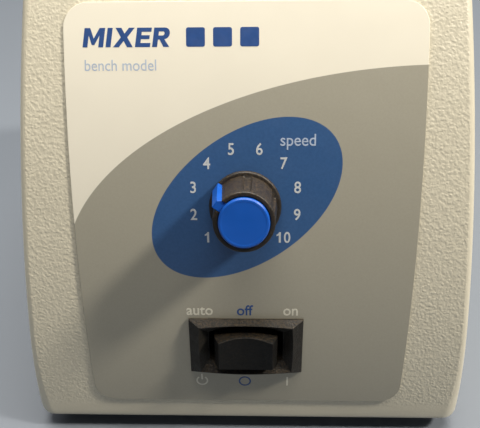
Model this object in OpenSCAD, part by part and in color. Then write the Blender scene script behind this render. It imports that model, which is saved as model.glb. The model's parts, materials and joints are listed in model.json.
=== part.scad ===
// Bench vortex mixer: a cast housing with a bowed control face, a sprung motor carriage,
// and an orbiting cup head on an eccentric crank pin.
// Millimetres. +Z up, front face towards -Y, origin at the middle of the footprint on the bench.

/* [Housing] */
// Width across the bottom edge
body_w = 122; // [120:0.5:126]
// Depth along the bottom edge
body_d = 206; // [203:0.5:210]
// Height of the flat top deck above the bench
deck_z = 129; // [128:0.5:131]
// Gap under the housing, set by the feet
foot_gap = 5; // [4.5:0.5:5.5]
// Radius of the bowed front face, seen from the side
front_r = 236; // [228:1:246]
// Radius of the bowed rear face, seen from the side
rear_r = 170; // [165:1:176]
// Backward lean of the front face at its bottom edge, in degrees
front_lean = 2; // [1:0.5:3]
// Forward lean of the rear face at its bottom edge, in degrees
rear_lean = 3; // [2:0.5:4]
// Inward lean of each side, in degrees
side_draft = 4.4; // [4:0.1:4.8]
// Radius that blends the front and rear faces into the deck
blend_r = 25; // [22:1:28]
// Thickness of the cast wall
wall = 3.5; // [3:0.1:4]

/* [Control face] */
// Width of the printed front label
label_w = 85; // [80:1:90]
// Distance up the front face from the bottom edge to the label
label_start = 8; // [6:0.5:10]
// Distance up the front face from the bottom edge to the label's top
label_end = 115; // [110:0.5:117]
// Corner radius of the label
label_corner = 6; // [3:0.5:8]
// Distance up the front face to the speed knob
knob_s = 67.2; // [62:0.2:72]
// Distance up the front face to the rocker switch
switch_s = 27.8; // [25:0.2:30]
// Pointer direction, in degrees anticlockwise from the right-hand side
pointer_angle = 145; // [136:1:150]
// Height of the knob's cap above the face
knob_h = 16.8; // [16:0.1:17.5]

/* [Mechanism] */
// Diameter of the orbit that the cup follows
orbit_d = 4.9; // [4:0.1:4.9]
// Depth position of the motor axis
axis_y = -7; // [-8:0.5:-6]
// Radius of the motor shaft
shaft_r = 4; // [3.8:0.1:4]
// Distance from the motor axis to each guide post, along X and along Y
post_offset = 38; // [37:0.5:39]
// Height of the cup's rim above the bench
top_z = 165; // [163:0.5:168]

/* [Hidden] */
$fn = 64;

// Clearances
fit = 0.02;      // between pieces that are fixed together
run = 0.05;      // radial, between pieces that turn or slide in each other
through = 50;    // length of a cutting tool that passes right through

// Overall frame: the knob stands in front of the housing's bottom edge
cap_r = 5.7;
knob_in = front_r * (cos(front_lean) - cos(front_angle(knob_s)));
knob_reach = knob_h * cos(front_angle(knob_s)) + cap_r * sin(front_angle(knob_s)) - knob_in;
front_y = knob_reach - (body_d + knob_reach) / 2;
rear_y = front_y + body_d;

// Side profile: each face is an arc that runs on into a smaller arc under the deck
front_cy = front_y + front_r * cos(front_lean);
front_cz = foot_gap - front_r * sin(front_lean);
front_top = asin((deck_z - blend_r - front_cz) / (front_r - blend_r));
rear_cy = rear_y - rear_r * cos(rear_lean);
rear_cz = foot_gap - rear_r * sin(rear_lean);
rear_top = asin((deck_z - blend_r - rear_cz) / (rear_r - blend_r));
deck_corner_r = 10;
front_steps = 24;
rear_steps = 16;
blend_steps = 10;

// Base
plate_z = 6;
plate_t = 1.5;
boss_x = 52;
boss_y = [front_y + 10.5, rear_y - 10.5];
foot_x = 44;
foot_y = [front_y + 27, rear_y - 27];
m4_r = 2;
m3_r = 1.5;

// Label
label_gap = 0.05;
label_t = 0.5;
label_mid = (label_start + label_end) / 2;
label_l = 2 * front_r * sin((front_angle(label_end) - front_angle(label_start)) / 2);

// Knob and potentiometer
knob_flange_r = 8.75;
knob_base_z = 1;
knob_foot_r = 7.7;
knob_top_r = 6.9;
knob_top_z = knob_h - 0.9;
cap_seat_z = knob_top_z - 1.2;
knob_flange_z = knob_base_z + 1.5;
pot_shaft_r = 3;
pot_bush_r = 3.5;
pointer_w = 2.2;
pointer_top_z = knob_h - 1.4;
groove_r = 1.5;
groove_depth = 0.4;

// Rocker switch
bezel_w = 30;
bezel_h = 17;
bezel_z = 3;
switch_w = 26.8;
switch_h = 13.8;
bezel_crest = 0.7;
recess_w = 23.4;
recess_h = 13.2;
recess_bow = 0.4;
well_w = 19.6;
well_h = 9.2;
well_bow = 1.2;
rocker_w = 16.6;
rocker_face_w = 14;
rocker_h = 8.4;
rocker_bow = 1;
rocker_dish = 1.3;
rocker_top = 5.7;
rocker_shoulder = 2.6;
rocker_pivot_z = -3.5;
rocker_pin_r = 1.5;

// Power inlet
inlet_s = 40;
inlet_sink = 1.3;
inlet_w = 31;
inlet_h = 41;
inlet_in_w = 27.2;
inlet_in_h = 37.2;
socket_y = -9;
drawer_y = 10;
drawer_w = 24.4;
drawer_h = 9.4;

// Carriage and guide posts
ecc = orbit_d / 2;
post_r = 3.5;
shoulder_r = 5;
post_z = [58, 63, 95, 112, 120];
seat_t = 3;
seat_z = post_z[1];
spring_r = 5.6;
spring_wire = 0.7;
spring_turns = 5;
bush_z = [82, 84, 91];
mplate_z = 84;
mplate_t = 4;
mplate_w = 94;
mplate_d = 92;

// Motor
stator_z = [44, 70];
stator_w = 60;
motor_bolt_p = 24;
bracket_t = 3;
hub_len = 10;
rotor_r = 15;
shaft_z = [18, 104];
bush_r = 7;
fan_z = 19;
fan_h = 9;
fan_r = 26.5;

// Crank and head
crank_z = 96;
crank_top = 112;
crank_r = 12;
pin_r = 3;
pin_z = [105, 129];
bearing_z = [114, 121];
bearing_h = 6;
bearing_r = 9.5;
race_in = 4.9;
race_out = 7.6;
ball_r = 1.75;
ball_pitch = 6.25;
head_r = 12;
head_z = 113;
platform_z = 139.6;
platform_t = 3;
platform_r = 23.4;
skirt_r = 26.6;
skirt_in = 23.9;
skirt_z = 133.4;
cup_seat_r = 16.5;
cup_seat_depth = 12;
cup_dimple_r = 4.5;
neck_r = 20.8;
neck_bore = 16.6;
neck_top = 137;

// Touch switch
touch_y = 26.6;
touch_z = 96;
lever_x = -9.5;
lever_z = touch_z - 0.8;
lever_w = 4.4;

// Control board
board_y = rear_y - 37.5;
board_z = 14;
board_t = 1.6;
board_w = 84;
board_d = 54;

// ---------- shared functions and shapes ----------

// Lean of the front face from vertical, at a distance up the face
function front_angle(s) = front_lean + s / front_r * 180 / PI;
function rear_angle(s) = rear_lean + s / rear_r * 180 / PI;

function arc(cx, cy, r, a0, a1, n) =
    [for (i = [0:n]) let (a = a0 + (a1 - a0) * i / n) [cx + r * cos(a), cy + r * sin(a)]];

function rounded(w, h, r, n = 6) = concat(
    arc(w / 2 - r, h / 2 - r, r, 0, 90, n), arc(r - w / 2, h / 2 - r, r, 90, 180, n),
    arc(r - w / 2, r - h / 2, r, 180, 270, n), arc(w / 2 - r, r - h / 2, r, 270, 360, n));

// Children stand on the front face, with X right, Y up the face and Z straight out of it
module on_front(s) {
    a = front_angle(s);
    translate([0, front_cy - front_r * cos(a), front_cz + front_r * sin(a)])
        rotate([90 - a, 0, 0]) children();
}

// The same on the rear face, seen from behind
module on_rear(s) {
    a = rear_angle(s);
    translate([0, rear_cy + rear_r * cos(a), rear_cz + rear_r * sin(a)])
        rotate([0, 0, 180]) rotate([90 - a, 0, 0]) children();
}

module at_axis(x = 0) translate([x, axis_y, 0]) children();

module at_posts() for (x = [-1, 1], y = [-1, 1])
    translate([x * post_offset, axis_y + y * post_offset, 0]) children();

module at_motor_bolts() for (x = [-1, 1], y = [-1, 1])
    translate([x * motor_bolt_p, axis_y + y * motor_bolt_p, 0]) children();

module at_base_screws() for (x = [-boss_x, boss_x], y = boss_y) translate([x, y, 0]) children();
module at_board_holes() for (x = [-37, 37], y = [-22, 22]) translate([x, board_y + y, 0]) children();
module at_bracket_screws() for (x = [-7, 7]) translate([x, touch_y - 1.6, 0]) children();
module at_feet() for (x = [-foot_x, foot_x], y = foot_y) translate([x, y, 0]) children();

module rod(r, z0, z1) translate([0, 0, z0]) cylinder(r = r, h = z1 - z0);

module ring(r, bore, z0, z1) difference() {
    rod(r, z0, z1);
    rod(bore, z0 - 1, z1 + 1);
}

// A pan-head screw that points up, its head's underside at z
module screw_up(r, head_r, z, len) {
    rod(head_r, z - head_r * 0.6, z);
    rod(r, z, z + len);
}

module slab(w, d, r, z0, z1) translate([0, 0, z0]) linear_extrude(z1 - z0) polygon(rounded(w, d, r));

module block(x, y, z) translate([x[0], y[0], z[0]]) cube([x[1] - x[0], y[1] - y[0], z[1] - z[0]]);

// Closes a run of equal rings of points into one solid
module skin(points, rings, sides) {
    walls = [for (i = [0:rings - 2], j = [0:sides - 1]) let (
            k = (j + 1) % sides, n = i * sides, m = n + sides)
        each [[n + j, n + k, m + k], [n + j, m + k, m + j]]];
    start = [for (j = [sides - 1:-1:0]) j];
    finish = [for (j = [0:sides - 1]) (rings - 1) * sides + j];
    polyhedron(points = points, faces = concat(walls, [start, finish]));
}

// An insulated wire along a route that never runs straight up
module wire(route, r = 1.1, sides = 8) {
    last = len(route) - 1;
    function heading(i) = let (d = route[min(i + 1, last)] - route[max(i - 1, 0)]) d / norm(d);
    function around(i, j) = let (
            t = heading(i), c = cross(t, [0, 0, 1]), u = c / norm(c), v = cross(u, t), a = 360 * j / sides)
        route[i] + r * (cos(a) * u + sin(a) * v);
    skin([for (i = [0:last], j = [0:sides - 1]) around(i, j)], last + 1, sides);
}

// Outline of the housing from the side, moved inwards by inset and open below when inset
function side_profile(inset) = concat(
    [[rear_y - inset, inset > 0 ? 0 : foot_gap], [front_y + inset, inset > 0 ? 0 : foot_gap]],
    arc(front_cy, front_cz, front_r - inset, 180 - front_lean - 0.5, 180 - front_top, front_steps),
    arc(front_cy - (front_r - blend_r) * cos(front_top), deck_z - blend_r, blend_r - inset,
        180 - front_top, 90, blend_steps),
    arc(rear_cy + (rear_r - blend_r) * cos(rear_top), deck_z - blend_r, blend_r - inset,
        90, rear_top, blend_steps),
    arc(rear_cy, rear_cz, rear_r - inset, rear_top, rear_lean + 0.5, rear_steps));

// Outline of the housing from the front: leaning sides with rounded shoulders
function front_profile(inset) = let (
        t = tan(side_draft), bottom = inset > 0 ? 0 : foot_gap, top = deck_z - inset,
        half = body_w / 2 - inset / cos(side_draft), r = deck_corner_r - min(inset, deck_corner_r - 2),
        cx = half - (top - foot_gap) * t - r * (1 - sin(side_draft)) / cos(side_draft), cz = top - r)
    concat([[-half + (bottom - foot_gap) * t, bottom], [half - (bottom - foot_gap) * t, bottom]],
        arc(cx, cz, r, side_draft, 90, 8), arc(-cx, cz, r, 90, 180 - side_draft, 8));

module housing_form(inset) intersection() {
    translate([body_w / 2 + 5, 0, 0]) rotate([90, 0, -90]) mirror([1, 0, 0])
        linear_extrude(body_w + 10) polygon(side_profile(inset));
    translate([0, rear_y + 5, 0]) rotate([90, 0, 0])
        linear_extrude(body_d + 10) polygon(front_profile(inset));
}

// ---------- housing and base ----------

module housing() color("#d2c9b0") difference() {
    union() {
        difference() {
            housing_form(0);
            housing_form(wall);
        }
        intersection() {
            housing_form(1);
            union() {
                at_base_screws() rod(5, plate_z + plate_t, 40);
                at_posts() rod(7, post_z[3], deck_z);
            }
        }
    }
    at_base_screws() rod(m4_r + fit, plate_z, 20);
    at_posts() rod(m4_r + fit, post_z[3] - 1, post_z[4] + 1);
    at_axis() rod(19, deck_z - 2 * wall, deck_z + 1);
    on_front(knob_s) rod(pot_bush_r + 0.1, -through / 4, through / 4);
    on_front(switch_s) slab(switch_w + 0.4, switch_h + 0.4, 0.5, -through / 4, through / 4);
    on_rear(inlet_s) {
        slab(inlet_in_w + 0.4, inlet_in_h + 0.4, 0.5, -through / 4, through / 4);
        slab(inlet_w + 0.6, inlet_h + 0.6, 1.5, -inlet_sink, through / 4);
    }
    at_bracket_screws() rod(m3_r + fit, deck_z - 2 * wall, deck_z - 1);
}

module base_plate() color("#9a9c9e") difference() {
    translate([0, (front_y + rear_y) / 2, 0])
        slab(body_w - 2 * wall - 1, body_d - 2 * wall - 1.4, 5, plate_z, plate_z + plate_t);
    at_base_screws() rod(m4_r + 0.1, 0, through);
    at_feet() rod(m4_r + fit, 0, through);
    for (x = [-3:3], y = [-28, 28]) translate([x * 9, axis_y + y * 0.8, 0]) slab(4, 26, 1.9, 0, through);
    at_board_holes() rod(m3_r + fit, 0, through);
}

module base_screws() color("#b8b8b8") at_base_screws() screw_up(m4_r, 3.8, plate_z, 12);

module rubber_feet() color("#2b2b2b") at_feet() rotate_extrude() polygon([
    [7, 0], [9.5, 0], [9.5, 1.5], [8.3, plate_z], [m4_r + fit, plate_z], [m4_r + fit, 4],
    [4, 4], [4, 1.6], [5.5, 1.6]]);

module foot_screws() color("#b8b8b8") at_feet() {
    rod(3.7, 2, 4);
    rod(m4_r, 4, plate_z + plate_t + 1.5);
}

module rating_plate() color("#c9cbc8")
    translate([0, 62, 0]) slab(56, 34, 2, plate_z - 0.5, plate_z);

module front_label() color("#c2bba6") difference() {
    intersection() {
        translate([0, front_cy, front_cz]) rotate([0, 90, 0]) difference() {
            cylinder(r = front_r + label_gap + label_t, h = label_w + 10, center = true, $fn = 240);
            cylinder(r = front_r + label_gap, h = label_w + 20, center = true, $fn = 240);
        }
        on_front(label_mid) slab(label_w, label_l, label_corner, -12, 12);
    }
    on_front(knob_s) rod(pot_bush_r + 0.3, -5, 5);
    on_front(switch_s) slab(switch_w + 0.4, switch_h + 0.4, 0.5, -5, 5);
}

module neck_ring() color("#33322f") at_axis() rotate_extrude() polygon([
    [neck_bore, deck_z - wall - 1.5], [18.9, deck_z - wall - 1.5], [18.9, deck_z], [24, deck_z],
    [23.4, deck_z + 1.3], [neck_r, deck_z + 1.3], [neck_r, neck_top - 0.8],
    [neck_r - 0.8, neck_top], [neck_bore, neck_top]]);

// ---------- carriage suspension ----------

module guide_posts() color("#c4c6c8") at_posts() {
    rod(m4_r, post_z[0], post_z[1]);
    rod(post_r, post_z[1], post_z[2]);
    rod(shoulder_r, post_z[2], post_z[3]);
    rod(m4_r, post_z[3], post_z[4]);
}

module spring_seats() color("#a9a9a9") at_posts()
    ring(7.5, post_r + fit, seat_z, seat_z + seat_t);

module post_nuts() color("#a9a9a9") at_posts() difference() {
    translate([0, 0, seat_z - 3.2]) cylinder(r = 4.04, h = 3.2, $fn = 6);
    rod(m4_r + fit, seat_z - 4, seat_z + 1);
}

module stop_buffers() color("#2b2b2b") at_posts()
    ring(7, post_r + run, bush_z[2] + 0.1, post_z[2]);

// One round-wire compression spring from z0 to z1
module coil_spring(z0, z1) {
    sides = 6;
    steps = spring_turns * 12;
    function at(i, j) = let (
            a = 360 * spring_turns * i / steps, b = 360 * j / sides,
            r = spring_r + spring_wire * cos(b),
            z = z0 + spring_wire + (z1 - z0 - 2 * spring_wire) * i / steps + spring_wire * sin(b))
        [r * cos(a), r * sin(a), z];
    skin([for (i = [0:steps], j = [0:sides - 1]) at(i, j)], steps + 1, sides);
}

module return_springs() color("#b5b8bb") at_posts() coil_spring(seat_z + seat_t, bush_z[0]);

// ---------- controls ----------

module speed_pot() color("#5f6468") on_front(knob_s) {
    difference() {
        union() {
            rod(8.5, -14, -4.1);
            rod(pot_bush_r, -4.2, 6.6);
        }
        rod(pot_shaft_r + run, -12, 7);
    }
    for (x = [-4, 0, 4]) block([x - 0.8, x + 0.8], [-12.5, -8], [-10.4, -9.8]);
}

module pot_nut() color("#c8c9c4") on_front(knob_s) difference() {
    translate([0, 0, 0.65]) cylinder(r = 5.4, h = 2, $fn = 6);
    rod(pot_bush_r + fit, 0, 4);
}

module pot_shaft() color("#c8c9c4") on_front(knob_s) rod(pot_shaft_r, -11, 11.4);

module speed_knob() color("#1f1e1d") on_front(knob_s) difference() {
    rotate_extrude() polygon([
        [6.2, knob_base_z], [knob_flange_r - 0.3, knob_base_z], [knob_flange_r, knob_base_z + 0.4],
        [knob_flange_r, knob_flange_z - 0.3], [knob_flange_r - 0.3, knob_flange_z],
        [knob_foot_r, knob_flange_z], [knob_top_r, knob_top_z - 0.5], [knob_top_r - 0.5, knob_top_z],
        [cap_r + fit, knob_top_z], [cap_r + fit, cap_seat_z], [4.5, cap_seat_z],
        [4.5, 11.5], [pot_shaft_r + fit, 11.5], [pot_shaft_r + fit, 7], [pot_bush_r + 0.3, 7],
        [pot_bush_r + 0.3, 3.4], [6.2, 3.4]]);
    for (i = [1:5]) rotate(pointer_angle + i * 60)
        translate([knob_foot_r + groove_r - groove_depth, 0, knob_flange_z + 0.3]) rotate([0, -3.5, 0])
            cylinder(r = groove_r, h = knob_top_z - knob_flange_z - 1.3, $fn = 24);
    rotate(pointer_angle) {
        block([5.2, 12], [-pointer_w / 2 - fit, pointer_w / 2 + fit], [cap_seat_z, knob_h]);
        block([6.5, 12], [-pointer_w / 2 - fit, pointer_w / 2 + fit], [knob_flange_z, knob_h]);
    }
}

module knob_cap() color("#1e4f9d") on_front(knob_s) {
    rotate_extrude() polygon([
        [0, cap_seat_z + fit], [cap_r, cap_seat_z + fit], [cap_r, knob_h - 0.4],
        [cap_r - 0.4, knob_h], [0, knob_h]]);
    rotate(pointer_angle) translate([0, pointer_w / 2, 0]) rotate([90, 0, 0])
        linear_extrude(pointer_w) polygon([
            [4.6, cap_seat_z + fit], [6.5 + fit, cap_seat_z + fit],
            [6.5 + fit, knob_flange_z + fit], [knob_flange_r, knob_flange_z + fit],
            [knob_top_r + 0.6, pointer_top_z - 0.2], [knob_top_r + 0.4, pointer_top_z],
            [4.6, pointer_top_z]]);
}

// Straight-ended shape whose long edges are bowed outwards
module barrel(w, h, bow, z0, z1) translate([0, 0, z0]) linear_extrude(z1 - z0) polygon(concat(
    [for (i = [0:10]) let (t = 1 - i / 5) [w / 2 * t, h / 2 + bow * (1 - t * t)]],
    [for (i = [0:10]) let (t = i / 5 - 1) [w / 2 * t, -h / 2 - bow * (1 - t * t)]]));

// Bevelled frame of the switch: two crossed prisms give it four sloping sides
module bezel_form() intersection() {
    translate([0, bezel_h / 2, 0]) rotate([90, 0, 0]) linear_extrude(bezel_h) polygon([
        [-bezel_w / 2, 0.6], [bezel_w / 2, 0.6], [bezel_w / 2, 1.1],
        [recess_w / 2 + bezel_crest, bezel_z], [-recess_w / 2 - bezel_crest, bezel_z], [-bezel_w / 2, 1.1]]);
    translate([-bezel_w / 2, 0, 0]) rotate([90, 0, 90]) linear_extrude(bezel_w) polygon([
        [-bezel_h / 2, 0.6], [bezel_h / 2, 0.6], [bezel_h / 2, 1.1],
        [recess_h / 2 + bezel_crest, bezel_z], [-recess_h / 2 - bezel_crest, bezel_z], [-bezel_h / 2, 1.1]]);
}

module switch_body() color("#232321") on_front(switch_s) difference() {
    union() {
        bezel_form();
        slab(switch_w, switch_h, 0.5, -20, 1);
    }
    barrel(recess_w, recess_h, recess_bow, 0.9, through);
    barrel(well_w, well_h, well_bow, -13, through);
    translate([0, 0, rocker_pivot_z]) rotate([90, 0, 0])
        cylinder(r = rocker_pin_r + run, h = switch_h + 2, center = true);
}

module rocker() color("#1c1c1b") on_front(switch_s) {
    intersection() {
        barrel(rocker_w, rocker_h, rocker_bow, rocker_pivot_z - 4, rocker_top + 1);
        rotate([90, 0, 0]) linear_extrude(bezel_h, center = true) polygon(concat(
            [[-rocker_w / 2, rocker_shoulder], [-rocker_w / 2, rocker_pivot_z - 2], [-4, rocker_pivot_z - 4],
                [4, rocker_pivot_z - 4], [rocker_w / 2, rocker_pivot_z - 2], [rocker_w / 2, rocker_shoulder]],
            [for (i = [0:10]) let (t = 1 - i / 5)
                [rocker_face_w / 2 * t, rocker_top - rocker_dish * (1 - t * t)]]));
    }
    translate([0, 0, rocker_pivot_z]) rotate([90, 0, 0])
        cylinder(r = rocker_pin_r, h = switch_h - 0.4, center = true);
}

module switch_terminals() color("#c9a95a") on_front(switch_s)
    for (x = [-8, 0, 8]) block([x - 0.4, x + 0.4], [-3.1, 3.1], [-28, -20]);

// ---------- power inlet ----------

module inlet_blades(grow) {
    for (x = [-7, 7]) translate([x, socket_y - 2, 0]) slab(2 + grow, 4 + grow, 0.4, -33, -7);
    translate([0, socket_y + 2, 0]) slab(2 + grow, 4 + grow, 0.4, -33, -6);
}

module inlet_body() color("#1d1d1d") on_rear(inlet_s) difference() {
    union() {
        slab(inlet_w, inlet_h, 1.5, -inlet_sink, 2 - inlet_sink);
        slab(inlet_in_w, inlet_in_h, 0.5, -25, -inlet_sink);
    }
    translate([0, socket_y, -18]) linear_extrude(through) polygon([
        [-12.2, -8.3], [12.2, -8.3], [12.2, 4], [8, 8.3], [-8, 8.3], [-12.2, 4]]);
    translate([0, drawer_y, 0]) slab(drawer_w + 0.2, drawer_h + 0.2, 0.5, -20, through);
    inlet_blades(2 * fit);
}

module inlet_pins() color("#cbb98a") on_rear(inlet_s) inlet_blades(0);

module fuse_drawer() color("#262626") on_rear(inlet_s) translate([0, drawer_y, 0]) {
    difference() {
        slab(drawer_w, drawer_h, 0.5, -19, 2 - inlet_sink);
        translate([0, 1.9, 0]) slab(20.6, 8.2, 0.2, -16, -9);
        translate([0, -drawer_h / 2, 0]) slab(8, 3, 0.4, -1.5, 5);
    }
}

// Glass tube fuse with a metal cap at each end, lying across the drawer
module fuse() color("#dfe3e2") on_rear(inlet_s) translate([-10, drawer_y + 0.4, -12.5]) rotate([0, 90, 0]) {
    rod(2.3, 0, 20);
    for (z = [0, 15]) rod(2.5, z, z + 5);
}

// ---------- electronics ----------

module control_board() color("#2f6b43") difference() {
    translate([0, board_y, 0]) slab(board_w, board_d, 2, board_z, board_z + board_t);
    at_board_holes() rod(m3_r + 0.1, 0, through);
}

module board_standoffs() color("#d8d2c0") at_board_holes()
    ring(3, m3_r + fit, plate_z + plate_t, board_z);

// Screws of one size: four hold the board, two hold the touch switch bracket
module m3_screws() color("#b8b8b8") {
    at_board_holes() {
        rod(m3_r, plate_z, board_z + board_t);
        rod(2.7, board_z + board_t, board_z + board_t + 1.8);
    }
    at_bracket_screws() screw_up(m3_r, 2.7, deck_z - wall - 1.6, 3.8);
}

module filter_capacitor() color("#2a3f6e") translate([-26, board_y - 18, 0])
    rod(6, board_z + board_t, board_z + board_t + 22);

module heat_sink() color("#3a3c3e") translate([24, board_y - 16.5, board_z + board_t]) {
    block([-13, 13], [-1.5, 1.5], [0, 24]);
    for (i = [-3:3]) block([i * 4 - 0.8, i * 4 + 0.8], [1.5, 8], [0, 24]);
}

module power_transistor() color("#1a1a1a") translate([24, board_y - 16.5, board_z + board_t])
    block([-5, 5], [-6.1, -1.6], [4, 20]);

module terminal_block() color("#3f7d55") translate([0, board_y - 18, board_z + board_t])
    difference() {
        block([-11, 11], [-4, 4], [0, 10]);
        for (x = [-7.5, 0, 7.5]) {
            translate([x, 0, 7]) rod(1.8, 0, through);
            translate([x, 0, 4]) rotate([90, 0, 0]) cylinder(r = 1.4, h = 20, center = true);
        }
    }

module inlet_wires() color("#6b4a2f") for (x = [-7, 7])
    wire([[x, board_y + 1.5, 27], [x, board_y - 5, 27], [x, board_y - 9, 25],
        [x * 1.07, board_y - 11, 22], [x * 1.07, board_y - 13, 20], [x * 1.07, board_y - 17, 19.7]]);

module switch_wires() color("#26467e") for (i = [0, 1])
    wire([[8 * i, front_y + 30.5, 28], [8 * i - 2, front_y + 35, 26.5], [-12 - 3 * i, front_y + 42, 24],
        [-34 - 3 * i, front_y + 50, 21], [-43 - 3 * i, front_y + 56, 20], [-46 - 3 * i, front_y + 66, 20],
        [-46 - 3 * i, 0, 20], [-44 - 3 * i, 12, 20], [-34, 22 - 4 * i, 20.5], [-18 + 8 * i, 30 - 4 * i, 21],
        [-9.5 + 8 * i, 37 - 2 * i, 20.5], [-7.5 + 7.5 * i, board_y - 24, 20],
        [-7.5 + 7.5 * i, board_y - 19, 19.7]]);

// ---------- touch switch ----------

module touch_switch() color("#2d2f33") difference() {
    block([-10, 10], [touch_y, touch_y + 6.4], [touch_z, touch_z + 10]);
    for (x = [-5, 5]) translate([x, touch_y - 1, touch_z + 3]) rotate([-90, 0, 0])
        cylinder(r = 1.2, h = 10);
}

module touch_switch_bracket() color("#b3b5b6") difference() {
    union() {
        block([-11, 11], [touch_y - 6, touch_y + 8], [deck_z - wall - 1.6, deck_z - wall - 0.1]);
        block([-11, 11], [touch_y + 6.5, touch_y + 8], [touch_z - 1, deck_z - wall - 1]);
    }
    at_bracket_screws() rod(m3_r + fit, 0, deck_z);
}

// Sprung lever, with a rolled eye at its pivot, that follows the motor plate down
module touch_lever() color("#c9c9c4") translate([0, touch_y + 1, 0]) rotate([90, 0, 0]) mirror([0, 0, 1]) {
    translate([lever_x, lever_z, 0]) cylinder(r = 0.7, h = lever_w);
    linear_extrude(lever_w) polygon([
        [lever_x, lever_z + 0.3], [lever_x, lever_z - 0.2], [8, mplate_z + mplate_t + 0.4],
        [10, mplate_z + mplate_t + 0.4], [10, mplate_z + mplate_t + 0.9], [8.2, mplate_z + mplate_t + 0.9]]);
}

// ---------- motor carriage ----------

module motor_plate() color("#a3a6a8") difference() {
    at_axis() slab(mplate_w, mplate_d, 8, mplate_z, mplate_z + mplate_t);
    at_posts() rod(5.5 + fit, 0, through * 2);
    at_motor_bolts() rod(m4_r + 0.1, 0, through * 2);
    at_axis() rod(11, 0, through * 2);
}

module guide_bushes() color("#b08d57") at_posts() difference() {
    union() {
        rod(7, bush_z[0], bush_z[1]);
        rod(5.5, bush_z[1], bush_z[2]);
    }
    rod(post_r + run, 0, through * 2);
}

module stator_core() color("#6d7073") difference() {
    at_axis() slab(stator_w, stator_w, 6, stator_z[0], stator_z[1]);
    at_axis() rod(rotor_r + 0.4, 0, through * 2);
    at_motor_bolts() rod(m4_r + 0.1, 0, through * 2);
}

module stator_windings() color("#a5592a") at_axis() for (z = [stator_z[0] - 6.8, stator_z[1] + 0.2])
    translate([0, 0, z]) rotate_extrude() translate([22, 3.3]) polygon(rounded(9.6, 6.6, 2.2));

module end_bracket(z_plate, z_leg, z_hub) difference() {
    union() {
        at_axis() slab(stator_w, stator_w, 6, z_plate, z_plate + bracket_t);
        at_motor_bolts() rod(4, z_leg[0], z_leg[1]);
        at_axis() rod(10, z_hub, z_hub + hub_len);
    }
    at_motor_bolts() rod(m4_r + 0.1, 0, through * 2);
    at_axis() rod(bush_r, 0, through * 2);
    for (a = [0:90:270]) at_axis() rotate(a) translate([19, 0, 0]) slab(9, 22, 3, z_plate - 1, z_plate + 4);
}

module top_bracket() color("#b9bcbd") end_bracket(
    mplate_z - bracket_t, [stator_z[1], mplate_z - 1], mplate_z - hub_len);

module bottom_bracket() color("#b9bcbd") end_bracket(
    30, [31, stator_z[0]], 30);

module shaft_bushes() color("#a8803f") at_axis() for (z = [30, mplate_z - hub_len])
    ring(bush_r - fit, shaft_r + run, z, z + hub_len);

module motor_bolts() color("#b8b8b8") at_motor_bolts() {
    rod(3.6, 27.4, 30);
    rod(m4_r, 30, mplate_z + mplate_t + 3.4);
}

module motor_nuts() color("#a9a9a9") at_motor_bolts() difference() {
    translate([0, 0, mplate_z + mplate_t]) cylinder(r = 4.04, h = 3.2, $fn = 6);
    rod(m4_r + fit, 0, through * 2);
}

// ---------- rotor and crank ----------

module motor_shaft() color("#c4c6c8") at_axis() rod(shaft_r, shaft_z[0], shaft_z[1]);

module rotor_core() color("#7a7d80") at_axis()
    ring(rotor_r, shaft_r + fit, stator_z[0] + 1, stator_z[1] - 1);

module cooling_fan() color("#3d4043") at_axis() difference() {
    union() {
        rod(7, fan_z, fan_z + fan_h);
        rod(fan_r, fan_z, fan_z + 1.5);
        for (a = [0:45:315]) rotate(a) block([6, fan_r - 0.5], [-0.8, 0.8], [fan_z + 1, fan_z + fan_h]);
    }
    rod(shaft_r + fit, 0, through);
}

module eccentric_hub() color("#8b8e90") difference() {
    union() {
        at_axis() rod(crank_r, crank_z, crank_top);
        at_axis(ecc) rod(4.4, crank_top - 1, bearing_z[0] - 0.1);
        at_axis() intersection() {
            rod(24, crank_z, crank_z + 7);
            block([-30, -4], [-30, 30], [crank_z - 1, crank_z + 8]);
        }
    }
    at_axis() rod(shaft_r + fit, 0, shaft_z[1] + 0.1);
    at_axis(ecc) rod(pin_r + fit, pin_z[0] - 0.1, through * 3);
    at_axis() translate([0, 0, 100]) rotate([-90, 0, 0]) cylinder(r = m4_r + fit, h = 20);
}

module hub_set_screw() color("#4a4a4a") at_axis() translate([0, shaft_r + 0.1, 100]) rotate([-90, 0, 0])
    difference() {
        cylinder(r = m4_r, h = 7.4);
        translate([0, 0, 5.4]) cylinder(r = 1, h = 3, $fn = 6);
    }

module crank_pin() color("#d0d2d4") at_axis(ecc) rod(pin_r, pin_z[0], pin_z[1]);

module ball_groove() rotate_extrude() translate([ball_pitch, 0]) circle(r = ball_r + run, $fn = 32);

module race(r, bore) at_axis(ecc) for (z = bearing_z) difference() {
    ring(r, bore, z, z + bearing_h);
    translate([0, 0, z + bearing_h / 2]) ball_groove();
}

module bearing_inner_races() color("#c8cacc") race(race_in, pin_r + fit);
module bearing_outer_races() color("#c8cacc") race(bearing_r, race_out);

module bearing_balls() color("#e2e3e4") at_axis(ecc) for (z = bearing_z, a = [0:6])
    rotate(a * 360 / 7) translate([ball_pitch, 0, z + bearing_h / 2]) sphere(r = ball_r, $fn = 32);

// ---------- head ----------

module head_hub() color("#b4b6b7") at_axis(ecc) difference() {
    rod(head_r, head_z, platform_z);
    rod(bearing_r + fit, head_z - 1, bearing_z[1] + bearing_h + 0.1);
    rod(6, head_z, 132);
    for (a = [0:120:240]) rotate(a) translate([8, 0, 0]) rod(m3_r + fit, platform_z - 5.5, platform_z + 1);
}

module bearing_retainer() color("#55585a") at_axis(ecc) ring(bearing_r, 8, head_z, bearing_z[0] - 0.1);

module head_platform() color("#b9bbbc") at_axis(ecc) difference() {
    rod(platform_r, platform_z, platform_z + platform_t);
    for (a = [0:120:240]) rotate(a) translate([8, 0, 0]) rod(m3_r + 0.1, 0, 200);
}

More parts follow.
